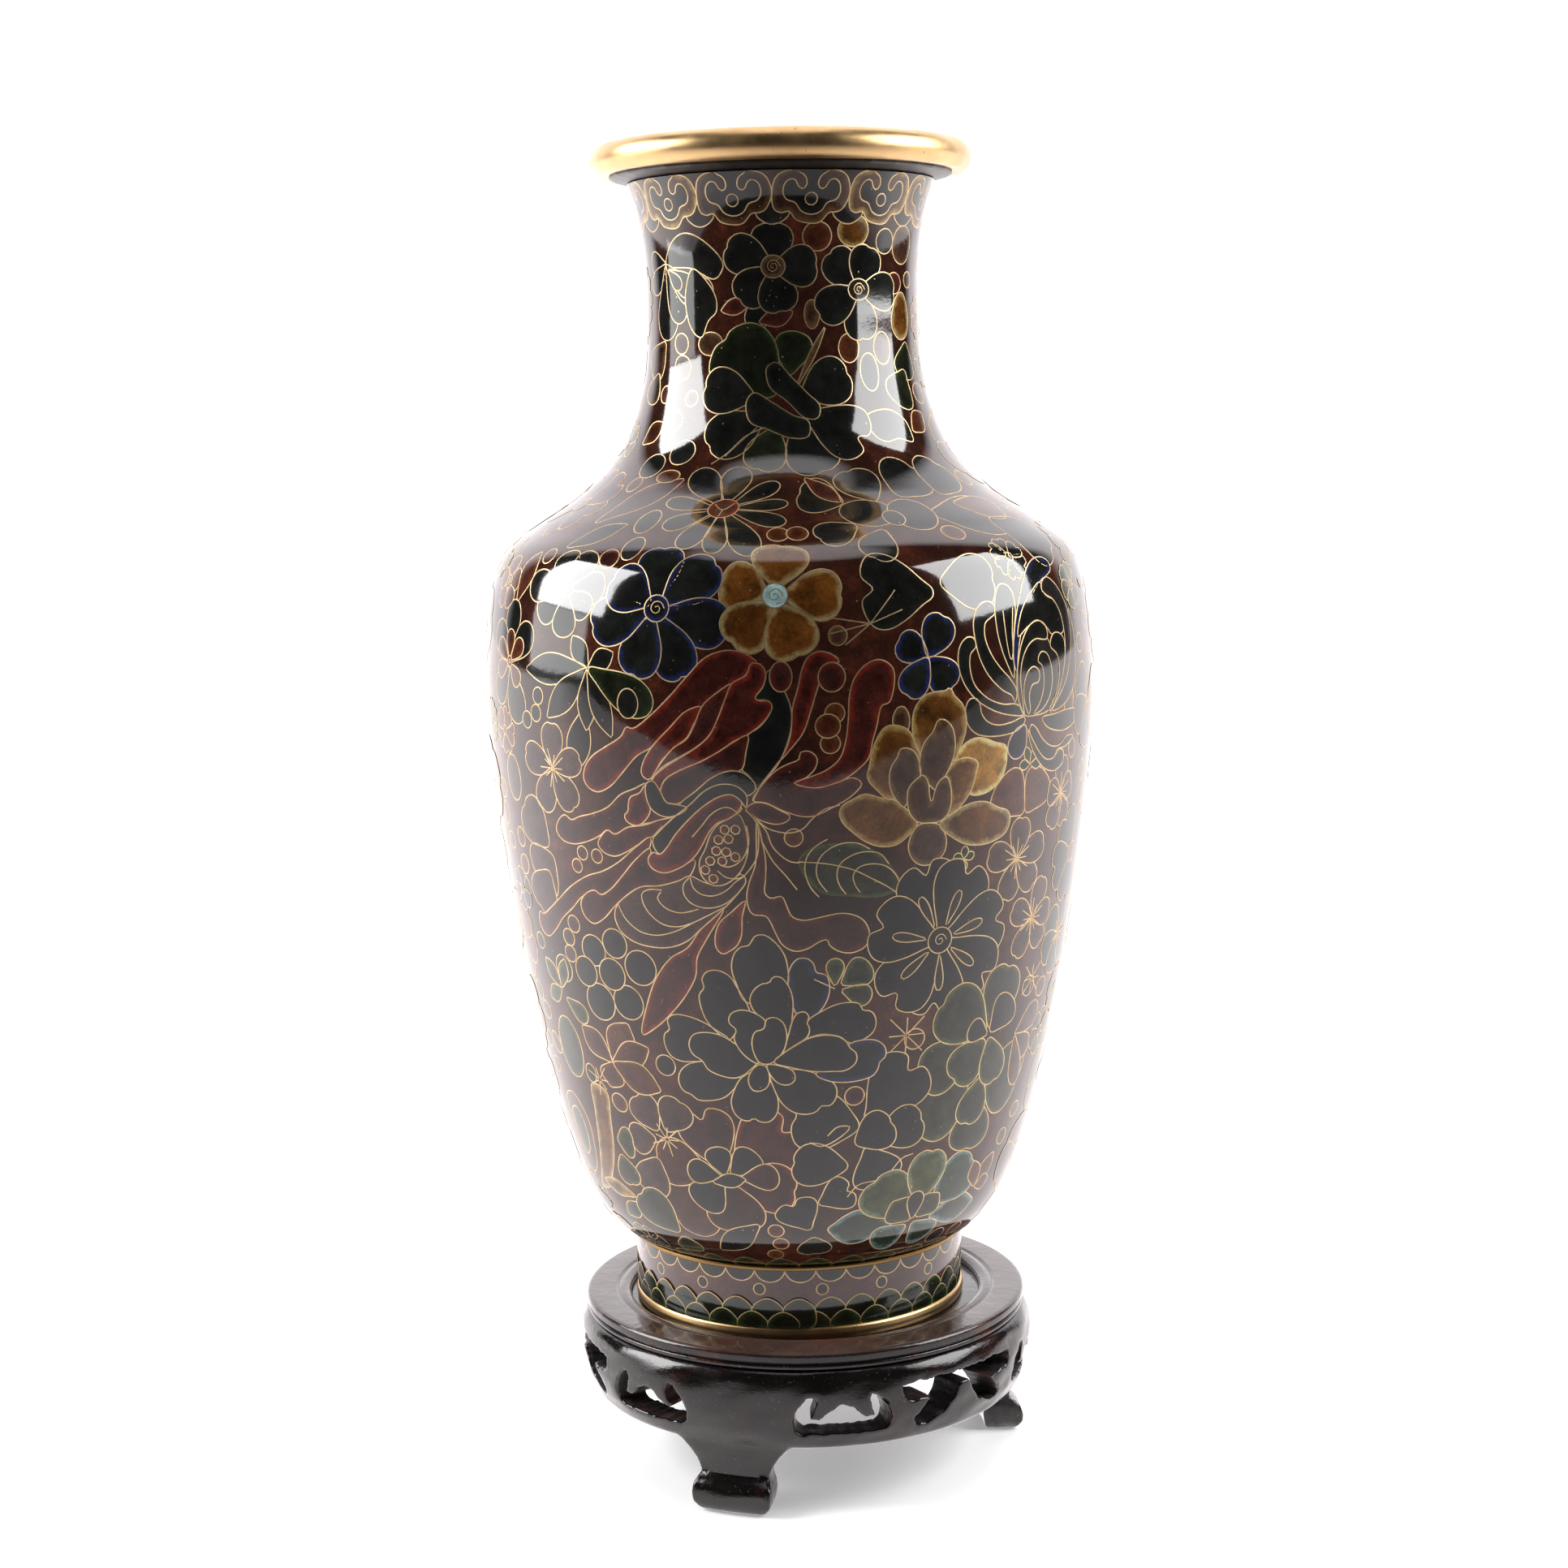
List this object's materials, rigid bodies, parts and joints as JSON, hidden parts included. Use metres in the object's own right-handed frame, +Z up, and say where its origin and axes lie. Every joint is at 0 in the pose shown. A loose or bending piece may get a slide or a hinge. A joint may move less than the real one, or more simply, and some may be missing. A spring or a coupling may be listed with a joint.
{
  "type": "cloisonne vase on stand",
  "caption": "Baluster cloisonne enamel vase with flared neck, rolled metal lip and gilt foot ring, lifting off a round pierced wooden stand with curled feet.",
  "frame": {"origin": "on the vase's axis, at the level the stand's feet rest on", "axes": "+Z up along the vase's axis, -Y towards the front"},
  "size_m": [0.1336, 0.1336, 0.289],
  "materials": {
    "lacquered_wood": "black-brown lacquer, glossy, worn at the edges",
    "copper": "hammered copper sheet",
    "enamel": "dark oxblood glass enamel between fine wires, polished",
    "counter_enamel": "plain fired enamel",
    "gilt": "polished gilt brass"
  },
  "bodies": {
    "stand": {"seat_panel": "lacquered_wood", "top_ring": "lacquered_wood", "apron_segment_1": "lacquered_wood", "apron_segment_2": "lacquered_wood", "apron_segment_3": "lacquered_wood"},
    "vase": {"neck_core": "copper", "neck_enamel": "enamel", "neck_lining": "counter_enamel", "body_core_upper": "copper", "body_core_lower": "copper", "body_enamel": "enamel", "waist_wire": "gilt", "foot_core": "copper", "foot_enamel": "enamel", "foot_band": "gilt", "base_enamel": "counter_enamel", "mouth_rim": "gilt"}
  },
  "joints": [
    {"name": "lift_off", "type": "slide", "parent": "stand", "child": "vase", "axis": [0, 0, 1], "range_m": [0, 0.06]}
  ]
}
